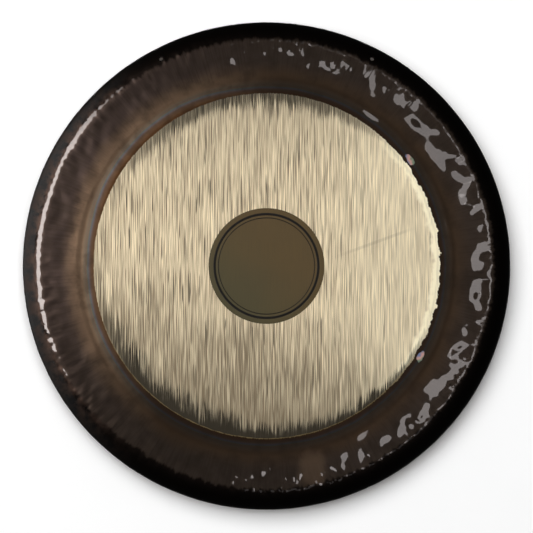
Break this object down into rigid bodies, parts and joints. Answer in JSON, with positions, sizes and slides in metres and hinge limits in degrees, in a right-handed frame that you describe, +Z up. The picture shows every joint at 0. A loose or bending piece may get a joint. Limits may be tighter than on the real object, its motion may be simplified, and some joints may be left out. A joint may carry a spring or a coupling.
{
  "type": "tam tam gong",
  "caption": "Large flat-faced hammered metal gong with a turned rim, a brushed face, a lacquered centre with a printed border of two lines, and two holes to hang it by.",
  "frame": {"origin": "on the gong's axis, halfway through its depth", "axes": "+Y along the gong's axis from the struck face to the open back, +Z up with the two hanging holes at the top, +X to the right as the struck face is seen"},
  "size_m": [0.8118, 0.0628, 0.8118],
  "materials": {
    "gong_metal": "hammered nickel silver, dark glossy oxide with a brushed bare field",
    "centre_lacquer": "smooth satin lacquer, olive brown",
    "border_ink": "black screen-printed ink"
  },
  "bodies": {
    "root": {"gong_shell": "gong_metal", "centre_lacquer": "centre_lacquer", "border_broad_line": "border_ink", "border_fine_line": "border_ink"}
  },
  "joints": []
}
